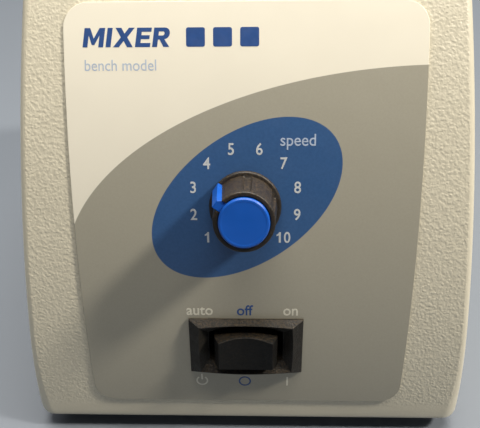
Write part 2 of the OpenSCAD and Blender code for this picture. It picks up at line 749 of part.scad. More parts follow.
module platform_screws() color("#b8b8b8") at_axis(ecc) for (a = [0:120:240]) rotate(a)
    translate([8, 0, 0]) {
        rod(m3_r, platform_z - 5, platform_z + platform_t);
        rod(2.7, platform_z + platform_t, platform_z + platform_t + 1.8);
    }

// The cup grips the platform, hangs over the neck, and has a dished seat for a tube
module rubber_cup() color("#262524") at_axis(ecc) difference() {
    rotate_extrude() polygon(concat(
        [[0, 141], [skirt_in - 1, 141], [skirt_in - 1, skirt_z + 0.5], [skirt_in - 0.6, skirt_z],
            [skirt_r - 1, skirt_z]],
        arc(skirt_r - 1, skirt_z + 1, 1, 270, 360, 4),
        [for (i = [0:10]) let (t = i / 10)
            [skirt_r - 5.8 * (1 - cos(180 * t)) / 2, 142 + (top_z - 5 - 142) * t]],
        [[21.2, top_z - 2.5]], arc(20.2, top_z - 1, 1, 0, 90, 4),
        [[cup_seat_r + 1.5, top_z], [cup_seat_r, top_z - 1]],
        [for (i = [1:8]) let (a = i * 90 / 8) [cup_dimple_r + (cup_seat_r - cup_dimple_r) * cos(a),
            top_z - 1 - (cup_seat_depth - 1) * sin(a)]],
        [[cup_dimple_r, top_z - cup_seat_depth - 3], [0, top_z - cup_seat_depth - 3]]));
    rod(skirt_in, skirt_z - 1, platform_z);
    rod(platform_r + fit, platform_z - 1, platform_z + platform_t + fit);
    rod(12, platform_z, platform_z + platform_t + 2.2);
}

housing();
base_plate();
base_screws();
rubber_feet();
foot_screws();
rating_plate();
front_label();
neck_ring();
guide_posts();
spring_seats();
post_nuts();
stop_buffers();
return_springs();
speed_pot();
pot_nut();
switch_body();
switch_terminals();
inlet_body();
inlet_pins();
control_board();
board_standoffs();
m3_screws();
filter_capacitor();
heat_sink();
power_transistor();
terminal_block();
inlet_wires();
switch_wires();
touch_switch();
touch_switch_bracket();
motor_plate();
guide_bushes();
stator_core();
stator_windings();
top_bracket();
bottom_bracket();
shaft_bushes();
motor_bolts();
motor_nuts();
motor_shaft();
rotor_core();
cooling_fan();
eccentric_hub();
hub_set_screw();
crank_pin();
bearing_inner_races();
bearing_outer_races();
bearing_balls();
bearing_retainer();
head_hub();
head_platform();
platform_screws();
rubber_cup();
speed_knob();
knob_cap();
pot_shaft();
rocker();
touch_lever();
fuse_drawer();
fuse();
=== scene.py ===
"""Bench vortex mixer: the looks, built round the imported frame. Metres, +Z up, control face towards -Y."""

import json
from math import acos, asin, atan2, cos, pi, radians, sin, tan

import bmesh
import bpy
from mathutils import Matrix, Vector


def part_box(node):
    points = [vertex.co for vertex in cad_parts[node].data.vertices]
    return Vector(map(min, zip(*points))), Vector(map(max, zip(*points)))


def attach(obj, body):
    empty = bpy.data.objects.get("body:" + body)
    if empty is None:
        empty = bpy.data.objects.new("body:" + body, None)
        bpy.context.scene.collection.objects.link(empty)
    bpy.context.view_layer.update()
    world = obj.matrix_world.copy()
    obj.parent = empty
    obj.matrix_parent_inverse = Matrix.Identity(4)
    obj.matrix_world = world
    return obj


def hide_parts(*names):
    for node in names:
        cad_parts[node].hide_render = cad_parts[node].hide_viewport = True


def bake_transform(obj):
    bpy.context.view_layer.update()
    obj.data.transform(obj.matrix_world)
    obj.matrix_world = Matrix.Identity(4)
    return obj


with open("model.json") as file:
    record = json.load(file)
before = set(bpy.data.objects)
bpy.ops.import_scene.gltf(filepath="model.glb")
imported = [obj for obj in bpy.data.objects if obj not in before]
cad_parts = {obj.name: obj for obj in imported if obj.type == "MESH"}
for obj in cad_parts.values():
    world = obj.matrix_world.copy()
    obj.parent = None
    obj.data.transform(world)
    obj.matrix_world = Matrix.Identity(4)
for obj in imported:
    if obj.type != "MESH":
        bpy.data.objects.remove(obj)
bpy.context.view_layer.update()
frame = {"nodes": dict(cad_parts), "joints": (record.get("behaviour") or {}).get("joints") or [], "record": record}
MM = 0.001

# ---------- places and sizes, from the frame ----------

HOUSING_LOW, HOUSING_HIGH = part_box("housing")
FOOT_GAP, DECK_Z = HOUSING_LOW.z, HOUSING_HIGH.z
FRONT_Y, REAR_Y = HOUSING_LOW.y, HOUSING_HIGH.y
HALF_W = HOUSING_HIGH.x
FRONT_R, REAR_R = 236 * MM, 170 * MM    # the front and rear faces are arcs in side view
FRONT_LEAN, REAR_LEAN = radians(2), radians(3)      # how far back they lean at the foot
SIDE_DRAFT = radians(4.4)   # how far the sides lean in
BLEND_R = 25 * MM       # round from the front and rear faces to the deck
SHOULDER_R = 10 * MM    # round from the sides to the deck
EDGE_R = 2 * MM         # round of the upright edges
FOOT_R = 3 * MM         # how much rounder the upright edges are at the foot
FOOT_FADE = 30 * MM     # height over which that extra rounding fades out
WALL = 3.5 * MM
EDGE_STEPS = 6          # faces round each upright edge
FRONT_CY = FRONT_Y + FRONT_R * cos(FRONT_LEAN)      # the middles of those arcs
FRONT_CZ = FOOT_GAP - FRONT_R * sin(FRONT_LEAN)
REAR_CY = REAR_Y - REAR_R * cos(REAR_LEAN)
REAR_CZ = FOOT_GAP - REAR_R * sin(REAR_LEAN)
JOINTS = {j["name"]: j for j in frame["joints"]}
AXIS = Vector(JOINTS["motor_spin"]["pos_m"])
HEAD = Vector(JOINTS["head_orbit"]["pos_m"])


def front_s(point):
    """Distance up the front face to a point near it."""
    return (atan2(point[2] - FRONT_CZ, FRONT_CY - point[1]) - FRONT_LEAN) * FRONT_R


def on_front(x, s, h=0.0):
    """The point x to the right, s up the front face and h out of it."""
    a = FRONT_LEAN + s / FRONT_R
    return Vector((x, FRONT_CY - (FRONT_R + h) * cos(a), FRONT_CZ + (FRONT_R + h) * sin(a)))


def front_frame(s):
    """X right, Y up the front face and Z straight out of it, at s."""
    a = FRONT_LEAN + s / FRONT_R
    place = Matrix.Translation(on_front(0, s))
    return place @ Matrix.Rotation(pi / 2 - a, 4, "X")


def rear_frame(s):
    """The same on the rear face, seen from behind."""
    a = REAR_LEAN + s / REAR_R
    place = Vector((0, REAR_CY + REAR_R * cos(a), REAR_CZ + REAR_R * sin(a)))
    return Matrix.Translation(place) @ Matrix.Rotation(pi, 4, "Z") @ Matrix.Rotation(pi / 2 - a, 4, "X")


KNOB_S = front_s(JOINTS["speed_knob"]["pos_m"])
SWITCH_S = front_s(JOINTS["rocker_tilt"]["pos_m"])
LABEL_W, LABEL_CORNER = 85 * MM, 6 * MM
LABEL_LOW_S, LABEL_HIGH_S = 8 * MM, 115 * MM
LABEL_TOP = 0.55 * MM   # above the front face
DIAL_S = 68.3 * MM      # middle of the ring of numbers and of the blue oval
INLET_S = 40 * MM
SWITCH_HOLE = (27.2 * MM, 14.2 * MM, 0.5 * MM)      # width, height and corner radius

# ---------- materials ----------


def colour(r, g, b):
    """An sRGB colour of 0 to 255 as linear light."""
    shares = [c / 255 for c in (r, g, b)]
    linear = [c / 12.92 if c < 0.0404 else ((c + 0.055) / 1.055) ** 2.4 for c in shares]
    return (*linear, 1.0)


class Finish:
    """A material on one Principled shader. Its patterns lie in the object's own coordinates, in metres."""

    def __init__(self, name, tint, rough, **plain):
        self.material = bpy.data.materials.new(name)
        self.material.use_nodes = True
        self.tree = self.material.node_tree
        self.shader = self.tree.nodes["Principled BSDF"]
        self.place = self.node("TexCoord").outputs["Object"]
        self.tint = colour(*tint)
        self.set("Base Color", self.tint)
        self.set("Roughness", rough)
        self.normal = None
        for key, value in plain.items():
            self.set(key.replace("_", " ").title().replace("Ior", "IOR"), value)

    def node(self, kind, settings=(), inputs=()):
        """A new node, with its properties and its inputs set or linked."""
        made = self.tree.nodes.new("ShaderNode" + kind)
        for key, value in dict(settings).items():
            setattr(made, key, value)
        for key, value in dict(inputs).items():
            if isinstance(value, bpy.types.NodeSocket):
                self.tree.links.new(value, made.inputs[key])
            else:
                made.inputs[key].default_value = value
        return made

    def set(self, key, value):
        """Sets or links one of the shader's inputs."""
        if isinstance(value, bpy.types.NodeSocket):
            self.tree.links.new(value, self.shader.inputs[key])
        else:
            self.shader.inputs[key].default_value = value

    def parts(self, vector):
        """The x, y and z of a vector."""
        return self.node("SeparateXYZ", inputs={0: vector}).outputs

    def facing(self, axis):
        """How far the surface faces along one of the object's axes, from -1 to 1."""
        return self.parts(self.node("TexCoord").outputs["Normal"])[axis]

    def noise(self, size, detail=3.0, stretch=None):
        """Cloudy noise from 0 to 1, with features of about size, drawn out along an axis by stretch."""
        place = self.place
        if stretch:
            place = self.node("Mapping", inputs={"Vector": place, "Scale": stretch}).outputs[0]
        inputs = {"Vector": place, "Scale": 1 / size, "Detail": detail}
        return self.node("TexNoise", inputs=inputs).outputs[0]

    def cells(self, size, feature="SMOOTH_F1"):
        """Distance to the nearest of scattered points, for lumps of about size."""
        inputs = {"Vector": self.place, "Scale": 1 / size}
        return self.node("TexVoronoi", {"feature": feature}, inputs).outputs["Distance"]

    def math(self, operation, a, b=0.0):
        """One operation on two numbers."""
        return self.node("Math", {"operation": operation}, {0: a, 1: b}).outputs[0]

    def times(self, a, b):
        return self.math("MULTIPLY", a, b)

    def spread(self, value, low, high, to_low=0.0, to_high=1.0):
        """A value from low to high, moved smoothly to run from to_low to to_high."""
        inputs = {"Value": value, "From Min": low, "From Max": high,
                  "To Min": to_low, "To Max": to_high}
        return self.node("MapRange", {"interpolation_type": "SMOOTHSTEP"}, inputs).outputs[0]

    def mix(self, share, a, b):
        """Colour a, with that share of colour b."""
        return self.node("Mix", {"data_type": "RGBA"}, {0: share, 6: a, 7: b}).outputs[2]

    def bump(self, height, depth):
        """Adds relief of that depth to the shader's normal."""
        inputs = {"Height": height, "Strength": 1.0, "Distance": depth}
        if self.normal:
            inputs["Normal"] = self.normal
        self.normal = self.node("Bump", inputs=inputs).outputs[0]
        self.set("Normal", self.normal)

    def shade(self, factor):
        """The finish's tint made darker or lighter by factor."""
        return tuple(min(1.0, c * factor) for c in self.tint[:3]) + (1.0,)

    def mottle(self, size, amount):
        """Varies the colour softly over patches of size, by amount up and down, and returns it."""
        patches = self.spread(self.noise(size), 0.3, 0.7)
        mottled = self.mix(patches, self.shade(1 - amount), self.shade(1 + amount))
        self.set("Base Color", mottled)
        return mottled

    def dusted_and_toplit(self, base, tint, share):
        """Lays specks of dust on the base colour, most where the surface faces up, as real dust and as painted
        warm light from above.
        """
        upward = self.spread(self.facing(2), 0.1, 0.8, 0.2, 1.0)
        specks = self.spread(self.noise(0.5 * MM, 4.0), 0.4, 0.66)
        # painted light: the share grows on up-facing faces, so upper faces turn lighter and browner, as under warm
        # light from above
        dust = self.times(self.times(upward, specks), share)
        self.set("Base Color", self.mix(dust, base, colour(*tint)))

    def uneven_gloss(self, size, low, high):
        """Varies the roughness from low to high over patches of size."""
        self.set("Roughness", self.spread(self.noise(size, 4.0), 0.3, 0.7, low, high))


def wrinkle_paint():
    """Textured cream paint: soft lumps under a millimetre across, with painted shade in their hollows, smoother
    along the edges and the foot.
    """
    f = Finish("wrinkle_paint", (209, 201, 179), 0.4)
    lumps = f.spread(f.noise(0.8 * MM, 1.5), 0.34, 0.66)
    beads = f.spread(f.cells(0.7 * MM), 0.1, 0.6, 1.0, 0.0)
    grain = f.math("ADD", f.times(lumps, 0.5), f.times(beads, 0.5))
    across = f.math("ABSOLUTE", f.facing(0))
    # 1 on the flat faces and 0 on the rounds between them
    on_face = f.math("MAXIMUM", f.spread(across, 0.1, 0.3, 1.0, 0.0), f.spread(across, 0.93, 0.985))
    height = f.parts(f.place)[2]
    above_foot = f.spread(height, FOOT_GAP + 4 * MM, FOOT_GAP + 9 * MM, 0.15, 1.0)
    share = f.times(f.math("MAXIMUM", on_face, 0.2), above_foot)
    patches = f.spread(f.noise(28 * MM), 0.3, 0.7)
    base = f.mix(patches, f.shade(0.97), f.shade(1.02))
    # painted shade: the colour is darkened where the grain is low, less on the rounds and near the foot
    hollow_shade = f.times(f.spread(grain, 0.1, 0.55, 0.2, 0.0), share)
    f.set("Base Color", f.mix(hollow_shade, base, f.shade(0.6)))
    f.uneven_gloss(4 * MM, 0.28, 0.44)
    f.bump(f.times(grain, share), 0.08 * MM)
    return f.material


# brown of the dust specks; on up-facing faces it also stands in for warm light, as painted light
DUST_AND_WARM_LIGHT = (140, 113, 76)


def plastic(name, tint, rough=0.45, grain=0.35, depth=0.012, dust=0.0, **plain):
    """Moulded plastic with a grain of that size and depth in millimetres, and that share of dust specks, which
    also paint warm light on its upper faces.
    """
    f = Finish(name, tint, rough, **plain)
    mottled = f.mottle(9 * MM, 0.06)
    if dust:
        f.dusted_and_toplit(mottled, DUST_AND_WARM_LIGHT, dust)
    f.uneven_gloss(3 * MM, rough * 0.85, rough * 1.2)
    f.bump(f.noise(grain * MM, 3.0), depth * MM)
    return f.material


def rubber(name, tint):
    """Matt rubber with a dusty bloom."""
    f = Finish(name, tint, 0.7)
    dust = f.spread(f.noise(6 * MM, 5.0), 0.45, 0.75, 0.0, 0.35)
    f.set("Base Color", f.mix(dust, f.tint, f.shade(2.2)))
    f.uneven_gloss(5 * MM, 0.6, 0.85)
    f.bump(f.noise(0.5 * MM, 4.0), 0.03 * MM)
    return f.material


def metal(name, tint, rough, brushed=None, cast=0.0):
    """Bare metal: brushed along an axis, with the grain of a casting that many millimetres deep, or plain."""
    f = Finish(name, tint, rough, metallic=1.0)
    f.mottle(7 * MM, 0.07)
    if brushed:
        lines = f.noise(0.3 * MM, 2.0, stretch=brushed)
        f.set("Roughness", f.spread(lines, 0.3, 0.7, rough * 0.7, rough * 1.4))
        f.bump(lines, 0.01 * MM)
    else:
        f.uneven_gloss(4 * MM, rough * 0.75, rough * 1.3)
        grain, depth = (0.9, cast) if cast else (0.25, 0.004)
        f.bump(f.noise(grain * MM, 4.0), depth * MM)
    return f.material


# ---------- mesh helpers ----------


def in_mm(points):
    """Points, or rows of sizes, that are written in millimetres."""
    return [tuple(n * MM for n in point) for point in points]


def arc(centre, radius, start, stop, steps):
    """Points along an arc from start to stop, in degrees."""
    angles = [radians(start + (stop - start) * i / steps) for i in range(steps + 1)]
    return [(centre[0] + radius * cos(a), centre[1] + radius * sin(a)) for a in angles]


def rounded_path(points, closed=False, steps=5):
    """A line through points (a, b) or (a, b, radius), with each radius made an arc of that many steps."""
    made = []
    for i, point in enumerate(points):
        p = Vector(point[:2])
        radius = point[2] if len(point) > 2 else 0
        if not radius or (not closed and i in (0, len(points) - 1)):
            made.append(tuple(p))
            continue
        u = (Vector(points[i - 1][:2]) - p).normalized()
        v = (Vector(points[(i + 1) % len(points)][:2]) - p).normalized()
        half = acos(max(-1.0, min(1.0, u.dot(v)))) / 2
        centre = p + (u + v).normalized() * radius / sin(half)
        start, stop = p + u * radius / tan(half) - centre, p + v * radius / tan(half) - centre
        turn = start.angle_signed(stop)
        for k in range(steps + 1):
            a = -turn * k / steps
            made.append((centre.x + start.x * cos(a) - start.y * sin(a),
                         centre.y + start.x * sin(a) + start.y * cos(a)))
    return made


def rounded_box(width, height, radius, steps=6):
    """Outline of a rectangle with round corners, anticlockwise."""
    x, y = width / 2, height / 2
    return rounded_path([(x, -y, radius), (x, y, radius), (-x, y, radius), (-x, -y, radius)], True, steps)


def skin(rings, cap_start=True, cap_end=True):
    """Points and faces that join equal closed rings of points; the first and last ring may be filled."""
    count = len(rings[0])
    points = [p for ring in rings for p in ring]
    faces = []
    for low in range(0, count * (len(rings) - 1), count):
        for j in range(count):
            k = (j + 1) % count
            faces.append((low + j, low + k, low + count + k, low + count + j))
    if cap_start:
        faces.append(tuple(range(count))[::-1])
    if cap_end:
        faces.append(tuple(len(points) - count + j for j in range(count)))
    return points, faces


def lathe(profile, sides=96, closed=True):
    """A profile of (radius, height) turned about Z: a closed loop, or a line with its ends on the axis."""
    turns = [2 * pi * j / sides for j in range(sides)]
    ends = [profile[0]] if closed else []
    return skin([[(r * cos(a), r * sin(a), z) for a in turns] for r, z in list(profile) + ends], False, False)


def at_height(outline, z):
    """A flat outline as a ring of points at height z."""
    return [(x, y, z) for x, y in outline]


def prism(outline, low, high):
    """A straight-sided solid on an outline."""
    return skin([at_height(outline, low), at_height(outline, high)])


def rod(radius, low, high, sides=32):
    """A solid cylinder about Z."""
    return lathe([(0, low), (radius, low), (radius, high), (0, high)], sides, False)


def moved(part, matrix):
    """A part of points and faces, moved by matrix."""
    return [matrix @ Vector(p) for p in part[0]], part[1]


def lifted(part, x, y, z=0.0):
    """A part moved to (x, y, z)."""
    return moved(part, Matrix.Translation((x, y, z)))


def fronted(part, s):
    """A part moved to s on the front face."""
    return moved(part, front_frame(s))


def joined(parts):
    """Several parts as one."""
    points, faces = [], []
    for more, their_faces in parts:
        start = len(points)
        points += list(more)
        faces += [tuple(start + i for i in face) for face in their_faces]
    return points, faces


def object_of(name, data):
    """A new object in the scene on that mesh, curve, lamp or camera."""
    made = bpy.data.objects.new(name, data)
    bpy.context.scene.collection.objects.link(made)
    return made


SAME_POINT = 0.001 * MM     # points this close are one
SLIVER = 0.004 * MM         # and so are these, after a cut


def make(name, part):
    """An object from points and faces, with doubled points merged and every face turned outwards."""
    shape = bmesh.new()
    made = [shape.verts.new(p) for p in part[0]]
    for face in part[1]:
        shape.faces.new([made[i] for i in face])
    bmesh.ops.remove_doubles(shape, verts=shape.verts, dist=SAME_POINT)
    bmesh.ops.recalc_face_normals(shape, faces=shape.faces)
    mesh = bpy.data.meshes.new(name)
    shape.to_mesh(mesh)
    shape.free()
    return object_of(name, mesh)


def carve(piece, cutter, operation="DIFFERENCE"):
    """Cuts the cutter out of the piece, or joins it on, and welds slivers."""
    change = piece.modifiers.new("carve", "BOOLEAN")
    change.operation, change.solver, change.object = operation, "EXACT", cutter
    bpy.context.view_layer.update()
    graph = bpy.context.evaluated_depsgraph_get()
    mesh = bpy.data.meshes.new_from_object(piece.evaluated_get(graph), depsgraph=graph)
    piece.modifiers.clear()
    piece.data = mesh
    bpy.data.objects.remove(cutter)
    shape = bmesh.new()
    shape.from_mesh(mesh)
    bmesh.ops.remove_doubles(shape, verts=shape.verts, dist=SLIVER)
    shape.to_mesh(mesh)
    shape.free()


REPLACED = set()        # CAD nodes that a piece here stands for


def finish_piece(piece, material, body, replaces=(), smooth=35, weighted=True):
    """Shading, material, body and replaced nodes of a finished piece. With body None it is attached to no body."""
    piece.data.materials.clear()
    piece.data.materials.append(material)
    piece.data.shade_smooth()
    piece.data.set_sharp_from_angle(angle=radians(smooth))
    if weighted:
        piece.modifiers.new("normals", "WEIGHTED_NORMAL").keep_sharp = True
    if body:
        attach(piece, body)
    if replaces:
        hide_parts(*replaces)
        REPLACED.update(replaces)
    return piece


# ---------- housing ----------


def bowed(z, towards, inset):
    """Y and outward normal of the front (-1) or rear (+1) face at height z, moved inwards by inset."""
    centre_y, centre_z, radius = REAR_CY, REAR_CZ, REAR_R
    if towards < 0:
        centre_y, centre_z, radius = FRONT_CY, FRONT_CZ, FRONT_R
    a = asin((z - centre_z) / (radius - inset))
    top = asin((DECK_Z - BLEND_R - centre_z) / (radius - BLEND_R))
    if a > top:
        centre_y += towards * (radius - BLEND_R) * cos(top)
        centre_z, radius = DECK_Z - BLEND_R, BLEND_R
        a = asin(min(1.0, (z - centre_z) / (radius - inset)))
    return centre_y + towards * (radius - inset) * cos(a), Vector((0, towards * cos(a), sin(a)))


def leaning(z, inset):
    """X and outward normal of the right side and its shoulder at height z, moved inwards by inset."""
    half_top = HALF_W - (DECK_Z - FOOT_GAP) * tan(SIDE_DRAFT)
    centre_x = half_top - SHOULDER_R * (1 - sin(SIDE_DRAFT)) / cos(SIDE_DRAFT)
    a = asin(max(-1.0, min(1.0, (z - DECK_Z + SHOULDER_R) / (SHOULDER_R - inset))))
    if a > SIDE_DRAFT:
        return centre_x + (SHOULDER_R - inset) * cos(a), Vector((cos(a), 0, sin(a)))
    x = HALF_W - (z - FOOT_GAP) * tan(SIDE_DRAFT) - inset / cos(SIDE_DRAFT)
    return x, Vector((cos(SIDE_DRAFT), 0, sin(SIDE_DRAFT)))


def swept(a, b, steps):
    """Directions from a to b along the shorter way round."""
    angle = acos(max(-1.0, min(1.0, a.dot(b))))
    if angle < 1e-4:
        return [a] * (steps + 1)
    return [(a * sin(angle * (1 - k / steps)) + b * sin(angle * k / steps)) / sin(angle)
            for k in range(steps + 1)]


def housing_ring(z, inset, edge, flat_z=None):
    """One level of the shell: four faces joined by round edges, whose rolling ball has its centre at z.

    It lies inset from the outer faces. With flat_z, all of it is at that height.
    """
    ring = []
    if inset < WALL:
        edge += FOOT_R * max(0.0, 1 - (z - FOOT_GAP) / FOOT_FADE) ** 2
    x, side_out = leaning(z, inset + edge)
    for towards in (-1, 1):
        y, out = bowed(z, towards, inset + edge)
        for across in (towards, -towards):
            side = Vector((side_out.x * across, 0, side_out.z))
            first, last = (side, out) if across == towards else (out, side)
            ring += [Vector((across * x, y, z)) + edge * n for n in swept(first, last, EDGE_STEPS)]
    if flat_z is not None:
        ring = [Vector((p.x, p.y, flat_z)) for p in ring]
    return ring


def shell_levels(low, edge, inset):
    """Heights of the rolling ball's centre, from low up to the deck, closer together round the shoulder."""
    shoulder = DECK_Z - SHOULDER_R
    count = 36
    levels = [low + (shoulder - low) * i / count for i in range(count)]
    turn = SHOULDER_R - inset - edge
    return levels + [shoulder + turn * sin(radians(a)) for a in range(0, 91, 9)]


def housing():
    """The cast shell, hollow and open below, with its bosses, screw holes and openings."""
    rim = 1.5 * MM      # radius of the curl round the foot
    inner_edge = 1 * MM
    outer = [housing_ring(z, 0, EDGE_R) for z in shell_levels(FOOT_GAP + rim, EDGE_R, 0)]
    curl = []
    for a in [radians(d) for d in (30, 60, 90)]:
        z = FOOT_GAP + rim * (1 - sin(a))
        curl.append(housing_ring(z, rim * (1 - cos(a)), EDGE_R, z))
    inner = [housing_ring(FOOT_GAP, WALL, inner_edge, FOOT_GAP)]
    inner += [housing_ring(z, WALL, inner_edge) for z in shell_levels(FOOT_GAP + rim, inner_edge, WALL)]
    shell = make("housing_shell", skin(outer[::-1] + curl + inner))

    screws = [(x, y) for x in (-52 * MM, 52 * MM) for y in (FRONT_Y + 10.5 * MM, REAR_Y - 10.5 * MM)]
    posts = [(x, AXIS.y + y) for x in (-38 * MM, 38 * MM) for y in (-38 * MM, 38 * MM)]
    bosses = [lifted(rod(5 * MM, 0, 32.5 * MM), x, y, 7.5 * MM) for x, y in screws]
    bosses += [lifted(rod(7 * MM, 0, 16 * MM), x, y, 112 * MM) for x, y in posts]
    carve(shell, make("bosses", joined(bosses)), "UNION")

    deep = 12 * MM
    pot_hole_r, neck_hole_r = 3.6 * MM, 19 * MM
    inlet_hole = rounded_box(27.6 * MM, 37.6 * MM, 0.5 * MM)
    inlet_recess, recess_depth = rounded_box(31.6 * MM, 41.6 * MM, 1.5 * MM), 1.3 * MM
    cuts = [fronted(prism(rounded_box(*SWITCH_HOLE), -deep, deep), SWITCH_S),
            fronted(rod(pot_hole_r, -deep, deep, 48), KNOB_S),
            lifted(rod(neck_hole_r, 0, deep, 96), 0, AXIS.y, DECK_Z - deep / 2),
            moved(prism(inlet_hole, -deep, 0), rear_frame(INLET_S)),
            moved(prism(inlet_recess, -recess_depth, deep), rear_frame(INLET_S))]
    cuts += [lifted(rod(2 * MM, 0, 14 * MM, 24), x, y, 6 * MM) for x, y in screws]
    for cut in cuts:
        carve(shell, make("cut", cut))
    return finish_piece(shell, wrinkle_paint(), "root", ["housing"])


# ---------- label and its legends ----------


def label_print():
    """Printed overlay: cream above a curved line, grey below it, and a slanting blue oval round the dial."""
    f = Finish("label_print", (229, 222, 204), 0.34)
    x, y, z = f.parts(f.place)
    rise, run = f.math("SUBTRACT", z, FRONT_CZ), f.math("SUBTRACT", FRONT_CY, y)
    s = f.times(f.math("SUBTRACT", f.math("ARCTAN2", rise, run), FRONT_LEAN), FRONT_R)

    def oval(x0, s0, half_x, half_s, turn):
        """About 0 on the oval's edge and negative inside it, in metres near the edge."""
        dx, ds = f.math("SUBTRACT", x, x0), f.math("SUBTRACT", s, s0)
        u = f.math("ADD", f.times(dx, cos(turn)), f.times(ds, sin(turn)))
        v = f.math("SUBTRACT", f.times(ds, cos(turn)), f.times(dx, sin(turn)))
        u, v = f.math("DIVIDE", u, half_x), f.math("DIVIDE", v, half_s)
        far = f.math("SQRT", f.math("ADD", f.times(u, u), f.times(v, v)))
        return f.times(f.math("SUBTRACT", far, 1.0), min(half_x, half_s))

    soft = 0.06 * MM    # half the width over which one colour changes to the next
    grey_x, grey_s = 47 * MM, 50.2 * MM     # middle of the wide oval whose top is the curved line
    sweep = oval(grey_x, grey_s, 92.2 * MM, 50.1 * MM, 0.0)
    below = f.math("SUBTRACT", s, grey_s)
    grey_zone = f.spread(f.math("MINIMUM", sweep, below), -soft, soft, 1.0, 0.0)
    dial = oval(0.0, DIAL_S, 26.35 * MM, 16.0 * MM, radians(36.1))
    dial_zone = f.spread(dial, -soft, soft, 1.0, 0.0)
    cream = f.mix(f.spread(f.noise(20 * MM), 0.3, 0.7), f.shade(0.985), f.shade(1.01))
    grey = f.mix(f.noise(0.5 * MM, 2.0), colour(153, 148, 133), colour(161, 156, 140))
    blue = f.mix(f.noise(0.6 * MM, 2.0), colour(43, 76, 120), colour(55, 91, 136))
    f.set("Base Color", f.mix(dial_zone, f.mix(grey_zone, cream, grey), blue))
    f.uneven_gloss(6 * MM, 0.3, 0.42)
    f.bump(f.noise(0.35 * MM, 2.0), 0.006 * MM)
    return f.material


def flat_plate(name, loops, depth, edge=0.0):
    """A plate of that depth, its top at z = 0 and its edges rounded by edge. A loop in a loop is a hole."""
    curve = bpy.data.curves.new(name, "CURVE")
    curve.dimensions, curve.fill_mode = "2D", "BOTH"
    curve.extrude, curve.offset = depth / 2 - edge, -edge
    curve.bevel_depth, curve.bevel_resolution = edge, 2
    for loop in loops:
        line = curve.splines.new("POLY")
        line.points.add(len(loop) - 1)
        for point, (x, y) in zip(line.points, loop):
            point.co = (x, y, 0, 1)
        line.use_cyclic_u = True
    return mesh_of(curve, name, -depth / 2)


def mesh_of(curve, name, lift):
    """The mesh of a filled curve or of lettering, moved up by lift."""
    shown = object_of(name, curve)
    graph = bpy.context.evaluated_depsgraph_get()
    mesh = bpy.data.meshes.new_from_object(shown.evaluated_get(graph))
    bpy.data.objects.remove(shown)
    mesh.transform(Matrix.Translation((0, 0, lift)))
    return mesh


def bend_to_front(mesh, top, step=0.0):
    """Lays a flat mesh, drawn in x and s, on the front face, with its z = 0 at height top.

    With a step it is first cut across that often, so that it bends.
    """
    shape = bmesh.new()
    shape.from_mesh(mesh)
    bmesh.ops.remove_doubles(shape, verts=shape.verts, dist=SAME_POINT)
    if step:
        low, high = min(v.co.y for v in shape.verts), max(v.co.y for v in shape.verts)
        for i in range(1, int((high - low) / step)):
            everything = shape.verts[:] + shape.edges[:] + shape.faces[:]
            bmesh.ops.bisect_plane(shape, geom=everything, plane_co=(0, low + i * step, 0),
                                   plane_no=(0, 1, 0))
    for v in shape.verts:
        v.co = on_front(v.co.x, v.co.y, top + v.co.z)
    bmesh.ops.recalc_face_normals(shape, faces=shape.faces)
    shape.to_mesh(mesh)
    shape.free()
    return mesh


def circle(x, s, radius):
    """A round outline."""
    return arc((x, s), radius, 0, 352.5, 47)


def label():
    """The curved label, with holes for the knob's shaft and the switch."""
    middle, tall = (LABEL_LOW_S + LABEL_HIGH_S) / 2, LABEL_HIGH_S - LABEL_LOW_S
    outline = [(x, middle + y) for x, y in rounded_box(LABEL_W, tall, LABEL_CORNER, 10)]
    knob_hole = circle(0, KNOB_S, 3.8 * MM)
    switch_hole = [(x, SWITCH_S + y) for x, y in rounded_box(*SWITCH_HOLE, 3)]
    thick, edge, step = 0.5 * MM, 0.12 * MM, 2 * MM
    mesh = flat_plate("label_panel", [outline, knob_hole, switch_hole], thick, edge)
    piece = object_of("label_panel", bend_to_front(mesh, LABEL_TOP, step))
    return finish_piece(piece, label_print(), "root", ["front_label"])


INK_PROUD = 0.03 * MM   # how far the print stands out of the label
CAPITAL = 0.682         # height of a capital in the built-in letters, as a share of their size


def ink(name, tint):
    """Screen-printed ink, slightly uneven."""
    f = Finish(name, tint, 0.4)
    f.mottle(1.5 * MM, 0.05)
    f.uneven_gloss(2 * MM, 0.36, 0.5)
    f.bump(f.noise(0.3 * MM, 2.0), 0.004 * MM)
    return f.material


def letters(text, height, x, s, weight=0.012, narrow=1.0, anchor="middle"):
    """Flat lettering with capitals of that height, centred on (x, s), or starting at x.

    It is made bolder by weight and drawn in to narrow of its width.
    """
    curve = bpy.data.curves.new(text, "FONT")
    curve.body, curve.size = text, height / CAPITAL
    curve.extrude, curve.offset, curve.resolution_u = INK_PROUD, weight * curve.size, 6
    mesh = mesh_of(curve, text, 0)
    xs = [v.co.x for v in mesh.vertices]
    start = (min(xs) + max(xs)) / 2 if anchor == "middle" else min(xs)
    mesh.transform(Matrix.Translation((-start, -height / 2, 0)))
    mesh.transform(Matrix.Diagonal((narrow, 1, 1, 1)))
    mesh.transform(Matrix.Translation((x, s, 0)))
    return mesh


def printed(name, loops, x=0.0, s=0.0):
    """Flat print on those outlines, moved to (x, s)."""
    mesh = flat_plate(name, loops, 2 * INK_PROUD)
    mesh.transform(Matrix.Translation((x, s, INK_PROUD)))
    return mesh


def figure_one(height, x, s):
    """The figure 1: a stem with a small flag."""
    w = height * 0.19
    loop = [(w / 2, -height / 2), (w / 2, height / 2), (-w * 0.28, height / 2),
            (-w * 0.75, height * 0.36), (-w * 1.6, height * 0.27), (-w * 1.6, height * 0.12),
            (-w / 2, height * 0.2), (-w / 2, -height / 2)]
    return printed("one", [loop], x, s)


